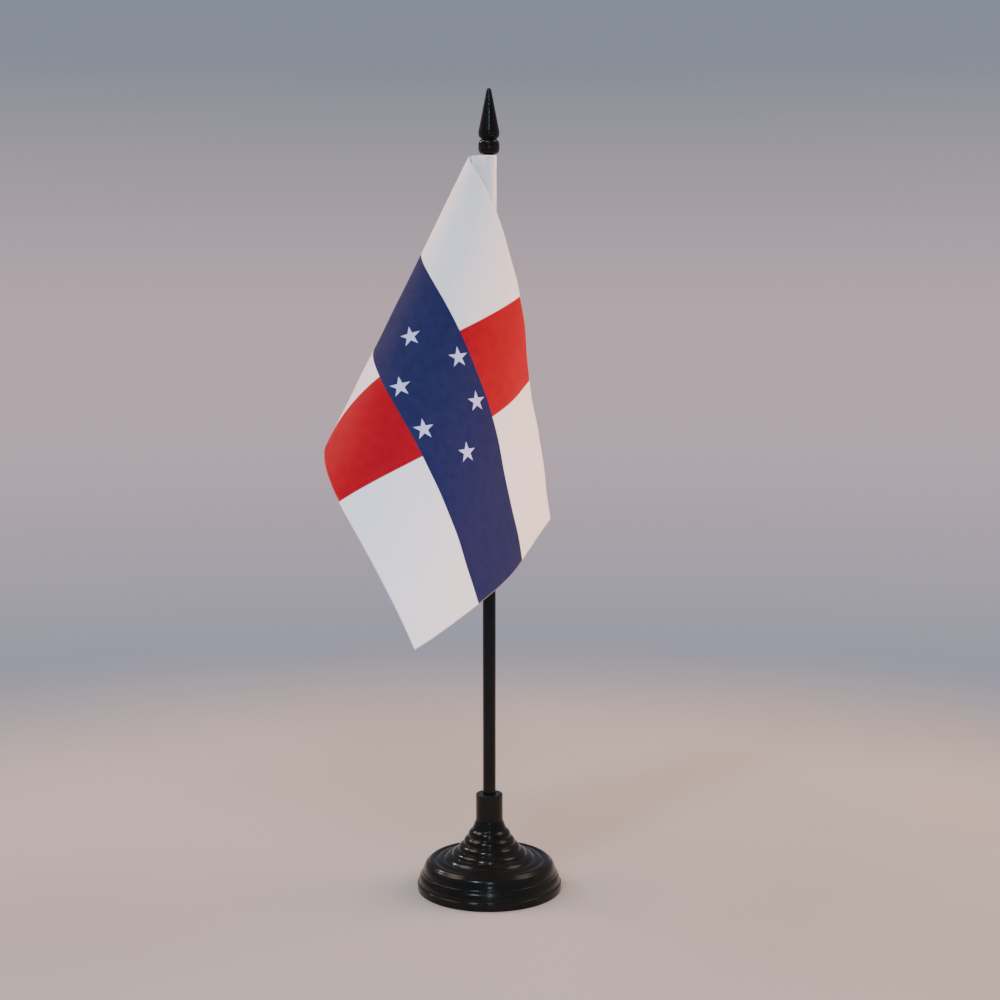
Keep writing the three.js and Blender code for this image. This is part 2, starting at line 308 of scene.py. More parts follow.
def handled_gloss_group():
    """The surface of a glossy moulding: a faint mould grain, hairline scratches and settled dust."""
    tree, nodes, given, out = shader_group(
        "handled_gloss",
        [
            ("Place", "NodeSocketVector", None),
            ("Gloss Roughness", "NodeSocketFloat", 0.2),
            ("Scratches", "NodeSocketFloat", 0.5),
            ("Dust", "NodeSocketFloat", 0.3),
        ],
        [
            ("Roughness", "NodeSocketFloat"),
            ("Height", "NodeSocketFloat"),
            ("Dust Mask", "NodeSocketFloat"),
        ],
    )
    place = given.outputs["Place"]
    cloud = nodes.noise(place, PATCH_SCALE, 4.0, 0.6)
    grain = nodes.noise(place, GRAIN_SCALE, 2.0, 0.5)
    stretched = nodes.add("ShaderNodeMapping", None, Vector=place)
    stretched.inputs["Rotation"].default_value = HAIR_TURN
    stretched.inputs["Scale"].default_value = HAIR_SCALE
    hairs = nodes.noise(stretched.outputs[0], 1.0, 1.0, 0.4)
    hairline = nodes.ramp(hairs, 0.66, 0.72)
    hairline = nodes.math("MULTIPLY", hairline, nodes.ramp(cloud, 0.48, 0.62))
    hairline = nodes.math("MULTIPLY", hairline, given.outputs["Scratches"])
    normal = nodes.add("ShaderNodeNewGeometry").outputs["Normal"]
    up = nodes.add("ShaderNodeSeparateXYZ", None, Vector=normal).outputs["Z"]
    specks = nodes.ramp(nodes.noise(place, SPECK_SCALE, 3.0, 0.7), 0.62, 0.74)
    film = nodes.ramp(cloud, 0.35, 0.75, 0.15, 1.0)
    settled = nodes.math("MULTIPLY", nodes.ramp(up, 0.05, 0.95), film)
    dust = nodes.math("MULTIPLY", nodes.math("ADD", nodes.math("MULTIPLY", specks, 0.7), 0.25), settled)
    dust = nodes.math("MULTIPLY", dust, given.outputs["Dust"], clamp=True)
    rough = nodes.math("ADD", given.outputs["Gloss Roughness"], nodes.math("MULTIPLY", cloud, 0.06))
    rough = nodes.math("ADD", rough, nodes.math("MULTIPLY", hairline, 0.18))
    rough = nodes.math("ADD", rough, nodes.math("MULTIPLY", dust, 0.5), clamp=True)
    height = nodes.math("SUBTRACT", nodes.math("MULTIPLY", grain, 0.25),
                        nodes.math("MULTIPLY", hairline, 0.6))
    nodes.feed(out.inputs["Roughness"], rough)
    nodes.feed(out.inputs["Height"], height)
    nodes.feed(out.inputs["Dust Mask"], dust)
    return tree


THREAD_WANDER = 0.35  # millimetres that the threads stray from straight
SLUB_SCALE = (0.12, 4.0, 1.0)  # long thick places in the threads, along the cloth


def plain_weave_group():
    """Over-and-under threads of a plain woven cloth, on a position in millimetres on the flat cloth."""
    tree, nodes, given, out = shader_group(
        "plain_weave",
        [("Flat Place", "NodeSocketVector", None), ("Thread Pitch", "NodeSocketFloat", 0.25)],
        [("Height", "NodeSocketFloat"), ("Gaps", "NodeSocketFloat"), ("Slub", "NodeSocketFloat")],
    )
    place = given.outputs["Flat Place"]
    wander = nodes.math("MULTIPLY", nodes.noise(place, 0.6, 2.0, 0.5), THREAD_WANDER)
    split = nodes.add("ShaderNodeSeparateXYZ", None, Vector=place)
    turns = nodes.math("DIVIDE", math.pi, given.outputs["Thread Pitch"])
    along = nodes.math("MULTIPLY", nodes.math("ADD", split.outputs[0], wander), turns)
    across = nodes.math("MULTIPLY", nodes.math("ADD", split.outputs[1], wander), turns)
    warp = nodes.math("ABSOLUTE", nodes.math("SINE", along))
    weft = nodes.math("ABSOLUTE", nodes.math("SINE", across))
    over = nodes.math("MULTIPLY", nodes.math("SINE", along), nodes.math("SINE", across))
    top = nodes.ramp(over, -0.35, 0.35)
    height = nodes.math("ADD", nodes.math("MULTIPLY", warp, top),
                        nodes.math("MULTIPLY", weft, nodes.math("SUBTRACT", 1.0, top)))
    gaps = nodes.ramp(nodes.math("MULTIPLY", warp, weft), 0.0, 0.22, 1.0, 0.0)
    streaks = nodes.add("ShaderNodeMapping", None, Vector=place)
    streaks.inputs["Scale"].default_value = SLUB_SCALE
    slub = nodes.noise(streaks.outputs[0], 1.0, 2.0, 0.6)
    nodes.feed(out.inputs["Height"], height)
    nodes.feed(out.inputs["Gaps"], gaps)
    nodes.feed(out.inputs["Slub"], slub)
    return tree


NOTCH_SHARE = 0.382  # of a star's reach: how far its notches are from its middle


def five_point_star_group():
    """1 inside a five-pointed star on the flat cloth, with one point towards the top edge."""
    tree, nodes, given, out = shader_group(
        "five_point_star",
        [
            ("Flat Place", "NodeSocketVector", None),
            ("Centre", "NodeSocketVector", None),
            ("Reach", "NodeSocketFloat", 3.7),
            ("Softness", "NodeSocketFloat", 0.15),
        ],
        [("Mask", "NodeSocketFloat")],
    )
    offset = nodes.add("ShaderNodeVectorMath", {"operation": "SUBTRACT"},
                       i0=given.outputs["Flat Place"], i1=given.outputs["Centre"])
    split = nodes.add("ShaderNodeSeparateXYZ", None, Vector=offset.outputs[0])
    x = split.outputs[0]
    y = nodes.math("MULTIPLY", split.outputs[1], -1.0)
    square = nodes.math("ADD", nodes.math("MULTIPLY", x, x), nodes.math("MULTIPLY", y, y))
    distance = nodes.math("SQRT", square)
    angle = nodes.math("ARCTAN2", x, y)
    arm = 2 * math.pi / 5
    folded = nodes.math("PINGPONG", nodes.math("ADD", angle, 5 * arm), arm / 2)
    along = nodes.math("MULTIPLY", distance, nodes.math("COSINE", folded))
    across = nodes.math("MULTIPLY", distance, nodes.math("SINE", folded))
    # One edge of the star runs from its tip to the notch beside it.
    notch_x, notch_y = NOTCH_SHARE * math.cos(arm / 2), NOTCH_SHARE * math.sin(arm / 2)
    run = math.hypot(1 - notch_x, notch_y)
    normal_x, normal_y = notch_y / run, (1 - notch_x) / run
    reach = nodes.math("MULTIPLY", given.outputs["Reach"], normal_x)
    out_of = nodes.math("SUBTRACT", nodes.math("ADD", nodes.math("MULTIPLY", along, normal_x),
                                               nodes.math("MULTIPLY", across, normal_y)), reach)
    mask = nodes.add("ShaderNodeMapRange", {"interpolation_type": "SMOOTHSTEP"},
                     i0=out_of, i1=given.outputs["Softness"], i2=0.0, i3=0.0, i4=1.0)
    nodes.feed(out.inputs["Mask"], mask.outputs[0])
    return tree


LATHE = lathe_tree()
HANDLED_GLOSS = handled_gloss_group()
PLAIN_WEAVE = plain_weave_group()
FIVE_POINT_STAR = five_point_star_group()


# ---- Materials --------------------------------------------------------------------------------

DUST_COLOUR = (0.16, 0.15, 0.14, 1)
TURNING_MARK_PITCH = 0.35 * MM


def gloss_plastic(name, colour, roughness, scratches, dust, ring_lines=0.0):
    """Glossy black moulded plastic. ring_lines adds the mould's fine turning marks."""
    material, nodes, shader = new_material(name)
    place = nodes.add("ShaderNodeTexCoord").outputs["Object"]
    surface = use_group(nodes, HANDLED_GLOSS, Place=place, Gloss_Roughness=roughness,
                        Scratches=scratches, Dust=dust)
    mottled = nodes.noise(place, 60.0, 3.0, 0.5)
    lighter = tuple(1.5 * c for c in colour) + (1,)
    tint = nodes.mix(nodes.ramp(mottled, 0.3, 0.7), colour + (1,), lighter)
    dusty = nodes.mix(surface.outputs["Dust Mask"], tint, DUST_COLOUR)
    height = surface.outputs["Height"]
    if ring_lines:
        split = nodes.add("ShaderNodeSeparateXYZ", None, Vector=place)
        square = nodes.math("ADD", nodes.math("MULTIPLY", split.outputs[0], split.outputs[0]),
                            nodes.math("MULTIPLY", split.outputs[1], split.outputs[1]))
        radius = nodes.math("SQRT", square)
        lines = nodes.math("SINE", nodes.math("MULTIPLY", radius, 2 * math.pi / TURNING_MARK_PITCH))
        height = nodes.math("ADD", height, nodes.math("MULTIPLY", lines, ring_lines))
    bump = nodes.add("ShaderNodeBump", None, Strength=0.25, Distance=0.02 * MM, Height=height)
    nodes.feed(shader.inputs["Base Color"], dusty)
    nodes.feed(shader.inputs["Roughness"], surface.outputs["Roughness"])
    nodes.feed(shader.inputs["Normal"], bump.outputs[0])
    shader.inputs["IOR"].default_value = 1.5
    shader.inputs["Specular IOR Level"].default_value = 0.2
    return material


FIELD_WHITE = (0.79, 0.775, 0.79, 1)
INK_BLUE = (0.0135, 0.016, 0.066, 1)
INK_BLUE_WORN = (0.017, 0.020, 0.075, 1)
INK_RED = (0.30, 0.001, 0.009, 1)
INK_RED_WORN = (0.335, 0.0015, 0.011, 1)
STAR_WHITE = (0.50, 0.50, 0.78, 1)
FUSED_EDGE = (0.55, 0.50, 0.44, 1)
WEAVE_PITCH = 0.26
# The darker thread colour below is painted shade for the grooves of the thread's twist.
THREAD_PAINTED_GROOVE_SHADE = (0.55, 0.55, 0.60, 1)
THREAD_WHITE = (0.86, 0.86, 0.90, 1)
THREAD_TWIST = (9000.0, 14000.0)  # ribs round the strand, in radians to a metre across and along it
BAND_SHARE = 1 / 3  # the blue band's width, as a share of the flag's height
STAR_REACH = 3.55
STAR_SPOTS = ((52, 50), (66.5, 38.2), (66.5, 61.8), (83.5, 38.2), (83.5, 61.8), (98, 50))


def cloth_surface(nodes, shader, flat_place, colour):
    """Woven polyester: the weave's bump, painted shade in the gaps between its threads, a slight sheen.
    """
    weave = use_group(nodes, PLAIN_WEAVE, Flat_Place=flat_place, Thread_Pitch=WEAVE_PITCH)
    # Painted shade in the gaps between threads, plus a darker tone at random where the threads run thick
    # (slubs).
    gap_shade_and_slub_tone = nodes.math("MULTIPLY", weave.outputs["Gaps"], 0.20)
    gap_shade_and_slub_tone = nodes.math("ADD", gap_shade_and_slub_tone, nodes.ramp(weave.outputs["Slub"], 0.3, 0.7, 0.07, 0.0))
    shaded = nodes.mix(gap_shade_and_slub_tone, colour, (0.0, 0.0, 0.0, 1))
    bump = nodes.add("ShaderNodeBump", None, Strength=0.5, Distance=0.05 * MM,
                     Height=weave.outputs["Height"])
    nodes.feed(shader.inputs["Base Color"], shaded)
    nodes.feed(shader.inputs["Normal"], bump.outputs[0])
    rough = nodes.ramp(weave.outputs["Slub"], 0.2, 0.8, 0.52, 0.66)
    nodes.feed(shader.inputs["Roughness"], rough)
    shader.inputs["Sheen Weight"].default_value = 0.015
    shader.inputs["Sheen Roughness"].default_value = 0.4
    shader.inputs["Specular IOR Level"].default_value = 0.07


def flat_place_of(nodes):
    """The cloth's own place in millimetres: x from the hoist to the fly, y from the top edge down."""
    uv = nodes.add("ShaderNodeUVMap", {"uv_map": "cut"}).outputs[0]
    scaled = nodes.add("ShaderNodeVectorMath", {"operation": "SCALE"}, i0=uv)
    scaled.inputs["Scale"].default_value = CUT_UNIT
    return scaled.outputs[0]


def printed_flag():
    """Ink on white cloth, paler on the reverse side, with edges fused by a hot knife."""
    material, nodes, shader = new_material("printed_flag")
    place = flat_place_of(nodes)
    bleed = nodes.math("MULTIPLY", nodes.math("SUBTRACT", nodes.noise(place, 3.0, 2.0), 0.5), 0.35)
    split = nodes.add("ShaderNodeSeparateXYZ", None, Vector=place)
    half_band = FLAG_BREADTH * BAND_SHARE / 2

    def band(socket, middle):
        off = nodes.math("ABSOLUTE", nodes.math("SUBTRACT", socket, middle))
        off = nodes.math("ADD", off, bleed)
        return nodes.ramp(off, half_band + 0.12, half_band - 0.12)

    red = band(split.outputs[0], FLAG_LENGTH / 2)
    blue = band(split.outputs[1], FLAG_BREADTH / 2)
    stars = None
    for spot in STAR_SPOTS:
        star = use_group(nodes, FIVE_POINT_STAR, Flat_Place=place, Centre=(spot[0], spot[1], 0),
                         Reach=STAR_REACH, Softness=0.18)
        mask = star.outputs["Mask"]
        stars = mask if stars is None else nodes.math("MAXIMUM", stars, mask)
    blotch = nodes.ramp(nodes.noise(place, 0.25, 3.0), 0.3, 0.7)
    colour = nodes.mix(red, FIELD_WHITE, nodes.mix(blotch, INK_RED, INK_RED_WORN))
    colour = nodes.mix(blue, colour, nodes.mix(blotch, INK_BLUE, INK_BLUE_WORN))
    colour = nodes.mix(stars, colour, STAR_WHITE)
    reverse = nodes.add("ShaderNodeAttribute", {"attribute_name": "reverse_side"}).outputs["Fac"]
    patchy = nodes.ramp(nodes.noise(place, 0.8, 2.0, 0.5), 0.3, 0.7, 0.02, 0.035)
    colour = nodes.mix(nodes.math("MULTIPLY", reverse, patchy), colour, FIELD_WHITE)
    to_bottom = nodes.math("SUBTRACT", float(FLAG_BREADTH), split.outputs[1])
    to_fly = nodes.math("SUBTRACT", float(FLAG_LENGTH), split.outputs[0])
    to_edge = nodes.math("MINIMUM", nodes.math("MINIMUM", split.outputs[1], to_bottom), to_fly)
    fused = nodes.math("MULTIPLY", nodes.ramp(to_edge, 0.15, 0.45, 1.0, 0.0), 0.35)
    colour = nodes.mix(fused, colour, FUSED_EDGE)
    cloth_surface(nodes, shader, place, colour)
    return material


def white_cloth():
    material, nodes, shader = new_material("white_cloth")
    cloth_surface(nodes, shader, flat_place_of(nodes), FIELD_WHITE)
    return material


def sewing_thread():
    """Twisted polyester thread: the twist shows as slanting ribs round the strand, with painted shade in
    the grooves between them.
    """
    material, nodes, shader = new_material("sewing_thread")
    place = nodes.add("ShaderNodeTexCoord").outputs["Object"]
    split = nodes.add("ShaderNodeSeparateXYZ", None, Vector=place)
    slant = nodes.math("ADD", nodes.math("MULTIPLY", split.outputs[2], THREAD_TWIST[1]),
                       nodes.math("MULTIPLY", split.outputs[0], THREAD_TWIST[0]))
    twist = nodes.math("SINE", slant)
    fuzz = nodes.noise(place, 3000.0, 2.0)
    # Painted shade: the colour darkens in the grooves between the twist's ribs.
    colour = nodes.mix(nodes.ramp(twist, -1.0, 0.4), THREAD_PAINTED_GROOVE_SHADE, THREAD_WHITE)
    bump = nodes.add("ShaderNodeBump", None, Strength=0.6, Distance=0.04 * MM, Height=twist)
    nodes.feed(shader.inputs["Base Color"], colour)
    nodes.feed(shader.inputs["Roughness"], nodes.ramp(fuzz, 0.2, 0.8, 0.45, 0.7))
    nodes.feed(shader.inputs["Normal"], bump.outputs[0])
    return material


# ---- Base -------------------------------------------------------------------------------------

NECK_RADIUS = 5.05 * MM
NECK_BOTTOM = 27 * MM
NECK_ROUND = 0.6 * MM
SHOULDER_START = np.array((19.8, 11.3)) * MM  # radius and height where the flare ends
SHOULDER_END = np.array((25, 7.3)) * MM  # radius and height of the line round the side wall
FLARE_HANDLES = np.array(((0, -1.5), (-9, 0.4))) * MM
SHOULDER_HANDLES = np.array(((2.8, -0.3), (-1, 4.2))) * MM
WALL_STEP = 0.35 * MM
WALL_MIDDLE_RADIUS = 26.3 * MM
WALL_FOOT_RADIUS = 26.7 * MM
FOOT_HEIGHT = 2.8 * MM
RING_COUNT = 7
RING_START = 4.3 * MM  # along the outline from the neck's lower end
RING_PITCH = 3.1 * MM
RING_HEIGHT = 0.45 * MM
WALL_THICKNESS = 1.8 * MM
BOSS_RADIUS = 4.2 * MM
BOSS_TOP = 19.5 * MM
SOCKET_FLOOR = pole_low.z - FIT_GAP
SOCKET_RADIUS = POLE_RADIUS + 0.08 * MM
EDGE_ROUND = 0.25 * MM
BASE_FACETS = 160
POINTS_PER_RING = 16
HOLLOW_SHARES = (0.97, 0.3)  # of the dome's outline, between which the hollow under it follows it


def travelled(line):
    """The distance along a line at each of its points."""
    return np.concatenate([[0], np.cumsum(np.linalg.norm(np.diff(line, axis=0), axis=1))])


def dome_line():
    """The outline from the neck's lower end to the line round the side wall, without its rings."""
    neck = np.array((NECK_RADIUS, NECK_BOTTOM))
    handles = (neck + FLARE_HANDLES[0], SHOULDER_START + FLARE_HANDLES[1])
    flare = bezier(neck, *handles, SHOULDER_START, 200)
    shoulder = bezier(SHOULDER_START, SHOULDER_START + SHOULDER_HANDLES[0],
                      SHOULDER_END + SHOULDER_HANDLES[1], SHOULDER_END, 120)
    line = np.vstack([flare, shoulder[1:]])
    return line, travelled(line)


def dome_points(distances, inwards=0.0):
    """Points at some distances along the dome's outline, moved inwards by a thickness."""
    line, travel = dome_line()

    def at(distance):
        return np.stack([np.interp(distance, travel, line[:, k]) for k in (0, 1)], 1)

    tangent = at(distances + 0.05 * MM) - at(distances - 0.05 * MM)
    tangent /= np.linalg.norm(tangent, axis=1)[:, None]
    inward = np.stack([tangent[:, 1], -tangent[:, 0]], 1)
    return (at(distances) + inward * inwards).tolist()


def ringed_base(material):
    """The base in one closed outline: socket, neck, dome, wall, foot and hollow."""
    length = dome_line()[1][-1]
    ring_end = RING_START + RING_COUNT * RING_PITCH
    distances = np.concatenate([
        np.linspace(0, RING_START, 12, endpoint=False),
        np.linspace(RING_START, ring_end, RING_COUNT * POINTS_PER_RING, endpoint=False),
        np.linspace(ring_end, length, 24),
    ])
    lip = SOCKET_RADIUS + EDGE_ROUND
    before = [(0, SOCKET_FLOOR), (SOCKET_RADIUS, SOCKET_FLOOR)]
    before += arc((lip, NECK_TOP - EDGE_ROUND), (EDGE_ROUND, EDGE_ROUND), 180, 90, 4)
    before += arc((NECK_RADIUS - NECK_ROUND, NECK_TOP - NECK_ROUND), (NECK_ROUND, NECK_ROUND), 90, 0, 8)
    neck_side = np.linspace(NECK_TOP - 2 * NECK_ROUND, NECK_BOTTOM + 0.3 * MM, 8)
    before += [(NECK_RADIUS, z) for z in neck_side]
    wall_top = SHOULDER_END + (WALL_STEP, -WALL_STEP)
    after = arc(wall_top - (EDGE_ROUND, EDGE_ROUND), (EDGE_ROUND, EDGE_ROUND), 90, 5, 5)
    middle = (WALL_MIDDLE_RADIUS + 0.15 * MM, (SHOULDER_END[1] + FOOT_HEIGHT) / 2)
    wall_foot = (WALL_FOOT_RADIUS, FOOT_HEIGHT)
    after += bezier(wall_top - (0, 2 * EDGE_ROUND), middle, middle, wall_foot, 8).tolist()
    for height, first, last in ((FOOT_HEIGHT - EDGE_ROUND, 80, 0), (EDGE_ROUND, 0, -90)):
        after += arc((FOOT_RADIUS - EDGE_ROUND, height), (EDGE_ROUND, EDGE_ROUND), first, last, 4)
    after += [(FOOT_RADIUS - WALL_THICKNESS + 0.1 * MM, 0), (FOOT_RADIUS - WALL_THICKNESS, 0.1 * MM)]
    after += [(WALL_FOOT_RADIUS - WALL_THICKNESS, FOOT_HEIGHT)]
    after += dome_points(np.linspace(*HOLLOW_SHARES, 24) * length, WALL_THICKNESS)
    after += [(BOSS_RADIUS + 0.4 * MM, BOSS_TOP - 0.2 * MM), (BOSS_RADIUS, BOSS_TOP - 0.7 * MM)]
    after += [(BOSS_RADIUS, EDGE_ROUND), (BOSS_RADIUS - EDGE_ROUND, 0), (0, 0)]
    ring_start = travelled(np.array(before + dome_points(distances[:1])))[-1] + RING_START
    return turned("ringed_base", before + dome_points(distances) + after, BASE_FACETS, material,
                  Ring_Start=float(ring_start), Ring_Pitch=RING_PITCH, Ring_Count=float(RING_COUNT),
                  Ring_Height=RING_HEIGHT)


# ---- Pole and finial --------------------------------------------------------------------------

FINIAL_SEAT = finial_low.z
BEAD_RADIUS = finial_high.x
BEAD_HALF_HEIGHT = 2.85 * MM
BEAD_CENTRE = 275.65 * MM
BEAD_SQUARENESS = 3.4  # 2 would be a plain ball
GROOVE_RADIUS = 2.9 * MM
GROOVE_Z = 278.5 * MM
SPEAR_RADIUS = 3.8 * MM
SPEAR_WIDEST = 281 * MM
TIP_RADIUS = 0.9 * MM
TIP_Z = finial_high.z
TAPER = 10  # degrees that the spear's side leans in from upright
SPIGOT_RADIUS = 1.4 * MM
SPIGOT_GAP = 0.1 * MM
CHAMFER = 0.5 * MM
SHOULDER_ROUND = 0.2 * MM
POLE_FACETS = 72
FINIAL_FACETS = 96


def black_pole(material):
    """The stick, with a chamfered foot and the spigot that the finial is pushed on."""
    shoulder = FINIAL_SEAT - FIT_GAP
    profile = [(0, pole_low.z), (POLE_RADIUS - CHAMFER, pole_low.z), (POLE_RADIUS, pole_low.z + CHAMFER)]
    profile += [(POLE_RADIUS, z) for z in np.linspace(pole_low.z + 2 * CHAMFER, shoulder - CHAMFER, 60)]
    profile += arc((POLE_RADIUS - SHOULDER_ROUND, shoulder - SHOULDER_ROUND),
                   (SHOULDER_ROUND, SHOULDER_ROUND), 0, 90, 3)
    profile += [(SPIGOT_RADIUS, shoulder), (SPIGOT_RADIUS, pole_high.z - 0.3 * MM)]
    profile += [(SPIGOT_RADIUS - 0.3 * MM, pole_high.z), (0, pole_high.z)]
    return turned("black_pole", profile, POLE_FACETS, material)


def squared_bead():
    """The bead's outline from its seat to the groove: a ball with squared sides."""
    points = []
    for outward, upward in arc((0, 0), (1, 1), -64, 60, 28):
        radius, height = (math.copysign(abs(v) ** (2 / BEAD_SQUARENESS), v) for v in (outward, upward))
        points.append((BEAD_RADIUS * radius, BEAD_CENTRE + BEAD_HALF_HEIGHT * height))
    return points


def spear_finial(material):
    """The tip from its blind bore outwards: the bead, the groove, the rounded swell and the cone."""
    bore = SPIGOT_RADIUS + SPIGOT_GAP
    bore_top = pole_high.z + FIT_GAP
    profile = [(0, bore_top), (bore, bore_top), (bore, FINIAL_SEAT)] + squared_bead()
    profile += arc((GROOVE_RADIUS + 0.2 * MM, GROOVE_Z), (0.2 * MM, 0.2 * MM), 230, 130, 5)
    groove_edge = np.array((GROOVE_RADIUS + 0.25 * MM, GROOVE_Z + 0.25 * MM))
    widest = np.array((SPEAR_RADIUS, SPEAR_WIDEST))
    swell = (groove_edge + (0.8 * MM, 0.5 * MM), widest - (0, 0.9 * MM))
    profile += bezier(groove_edge, *swell, widest, 10).tolist()
    lean = math.radians(TAPER)
    cone_end = np.array((TIP_RADIUS * math.cos(lean), TIP_Z - TIP_RADIUS + TIP_RADIUS * math.sin(lean)))
    profile += [tuple(widest + (cone_end - widest) * share) for share in np.linspace(0.04, 0.96, 14)]
    profile += arc((0, TIP_Z - TIP_RADIUS), (TIP_RADIUS, TIP_RADIUS), TAPER, 90, 9)
    return turned("spear_tip", profile, FINIAL_FACETS, material)


# ---- Flag -------------------------------------------------------------------------------------

SEAM_ALLOWANCE = 1.7  # cloth past the seam, inside the sleeve's lip
CREASES = 90
FIRST_SLANT = 18.5  # degrees from upright
LAST_SLANT = 65
SLANT_BULGE = 1.5  # degrees more, halfway through the creases
CREASE_REACH = 68  # millimetres along the top edge from the seam to the last crease
REACH_POWER = 2.7
TIGHT_CURL = 375  # degrees in all, if every crease turned as far as the first
OPEN_CURL = 105  # the same for the last
CURL_EASES = (0.25, 0.77)  # shares of the creases between which the one passes into the other
CLOTH_THICKNESS = 0.24 * MM
LEAF_OFFSET = CLOTH_THICKNESS / 2 + 0.16 * MM  # from the seam's middle to the middle of a sleeve leaf
CLOTH_COLUMNS = 214
CLOTH_ROWS = 144
SLEEVE_ROWS = 150
PUCKER_PITCH = 6.4  # millimetres down the seam
SLEEVE_CUT_SHIFT = 30  # millimetres on the UV map, so that the strip lies clear of the panel


def turn_about(point, direction, angle):
    """A 4 x 4 matrix that turns about the line through a point along a unit direction."""
    turn = np.eye(4)
    cross = np.array([
        [0, -direction[2], direction[1]],
        [direction[2], 0, -direction[0]],
        [-direction[1], direction[0], 0],
    ])
    turn[:3, :3] = np.eye(3) + math.sin(angle) * cross + (1 - math.cos(angle)) * cross @ cross
    turn[:3, 3] = point - turn[:3, :3] @ point
    return turn


def crease_fan():
    """The straight creases that the flat cloth turns about, and where it goes beyond each one."""
    share = (np.arange(CREASES) + 0.5) / CREASES
    slant = FIRST_SLANT + (LAST_SLANT - FIRST_SLANT) * share + SLANT_BULGE * 4 * share * (1 - share)
    slant = np.radians(slant)
    start = CREASE_REACH * share**REACH_POWER
    eased = np.clip((share - CURL_EASES[0]) / (CURL_EASES[1] - CURL_EASES[0]), 0, 1)
    angle = np.radians(-(TIGHT_CURL + (OPEN_CURL - TIGHT_CURL) * eased) / CREASES)
    placed = [np.eye(4)]
    for k in range(CREASES):
        direction = np.array([math.sin(slant[k]), math.cos(slant[k]), 0])
        placed.append(placed[-1] @ turn_about(np.array([start[k], 0, 0]), direction, angle[k]))
    return start, slant, angle, np.array(placed)


def hang(flat):
    """Where points of the flat cloth hang, in metres.

    flat holds millimetres along the cloth, down it and out of it.
    """
    start, slant, angle, placed = crease_fan()
    beyond = (flat[:, None, 0] - start) * np.cos(slant) - flat[:, None, 1] * np.sin(slant)
    crossed = (beyond > 0).sum(1)
    points = np.concatenate([flat, np.ones((len(flat), 1))], 1)
    hung = np.einsum("nij,nj->ni", placed[crossed], points)[:, :3] * MM
    return np.stack([SEAM_X - hung[:, 0], -hung[:, 2], FLAG_TOP - hung[:, 1]], 1)


def ripple(u, v):
    """Small waves of the hanging cloth, out of its smooth curl, in millimetres."""
    away = 1 - np.exp(-np.maximum(u, 0) / 25)
    slow = 0.45 * np.sin(0.075 * u - 0.045 * v + 0.6) + 0.30 * np.sin(0.13 * u - 0.10 * v + 2.0)
    fine = 0.10 * np.sin(0.33 * u + 0.07 * v) * np.sin(0.05 * v + 1.1)
    uneven = 2 * math.pi * v / PUCKER_PITCH + 0.8 * np.sin(0.21 * v)
    puckers = 0.10 * np.sin(uneven) * np.exp(-np.maximum(u, 0) / 4)
    return away * (slow + fine) + puckers


def sheet_object(name, columns, rows, place, cut, material):
    """A closed thin cloth from a grid of middle points.

    Its UV map is its flat place, and reverse_side is 1 on the side that mostly looks backwards.
    """
    count = len(columns) * len(rows)
    index = np.arange(count).reshape(len(columns), len(rows))
    faces = [
        (index[i, j], index[i + 1, j], index[i + 1, j + 1], index[i, j + 1])
        for i in range(len(columns) - 1) for j in range(len(rows) - 1)
    ]
    piece = add_object(name, place, [tuple(int(k) for k in f) for f in faces])
    layer = piece.data.uv_layers.new(name="cut")
    mean_outward = sum((face.normal * face.area for face in piece.data.polygons), Vector())
    corner = np.zeros(len(piece.data.loops), np.int32)
    piece.data.loops.foreach_get("vertex_index", corner)
    layer.data.foreach_set("uv", (cut[corner] / CUT_UNIT).astype(np.float32).ravel())
    solid = piece.modifiers.new("thickness", "SOLIDIFY")
    solid.thickness = CLOTH_THICKNESS
    solid.offset = 0
    solid.use_rim = True
    solid.use_even_offset = False
    apply_modifiers(piece)
    # The thickened mesh lists the drawn faces, then as many for the other side, then the rim.
    reverse = np.zeros(len(piece.data.polygons), np.float32)
    if mean_outward.y < 0:
        reverse[len(faces):2 * len(faces)] = 1
    else:
        reverse[:len(faces)] = 1
    piece.data.attributes.new("reverse_side", "FLOAT", "FACE").data.foreach_set("value", reverse)
    piece.data.materials.append(material)
    return piece


def apply_modifiers(piece):
    graph = bpy.context.evaluated_depsgraph_get()
    graph.update()
    mesh = bpy.data.meshes.new_from_object(piece.evaluated_get(graph))
    piece.modifiers.clear()
    piece.data = mesh


def flag_cloth(material):
    """The printed panel with its seam allowance, hung and rippled."""
    in_seam = [-SEAM_ALLOWANCE, -0.9]
    columns = np.concatenate([in_seam, np.linspace(0, FLAG_LENGTH, CLOTH_COLUMNS)])
    rows = np.linspace(0, FLAG_HEIGHT / MM, CLOTH_ROWS)
    u, v = (a.ravel() for a in np.meshgrid(columns, rows, indexing="ij"))
    flat = np.stack([u, v, ripple(u, v)], 1)
    flat[u <= 0, 2] = 0
    return sheet_object("flag_cloth", columns, rows, hang(flat), np.stack([u, v], 1), material)


def sleeve_route():
    """The strip's middle line in plan: along the lip's front leaf, round the pole, and back."""
    around = POLE_RADIUS + 0.20 * MM
    leaf = LEAF_OFFSET
    join = -4.5 * MM  # where the leaves part to go round the pole
    open_angle = math.degrees(math.acos((around - leaf) / -join))
    front = [(x, -leaf) for x in np.linspace(sleeve_low.x, join, 8)]
    # Round the front of the pole, its right side and its back.
    ring = arc((0, 0), (around, around), open_angle - 180, 180 - open_angle, 40)
    steps = np.linspace(0, 1, 8)[1:-1]
    to_ring = [(join + (ring[0][0] - join) * s, -leaf + (ring[0][1] + leaf) * s) for s in steps]
    from_ring = [(x, -y) for x, y in reversed(to_ring)]
    back = [(x, -y) for x, y in reversed(front)]
    return np.array(front + to_ring + ring + from_ring + back)


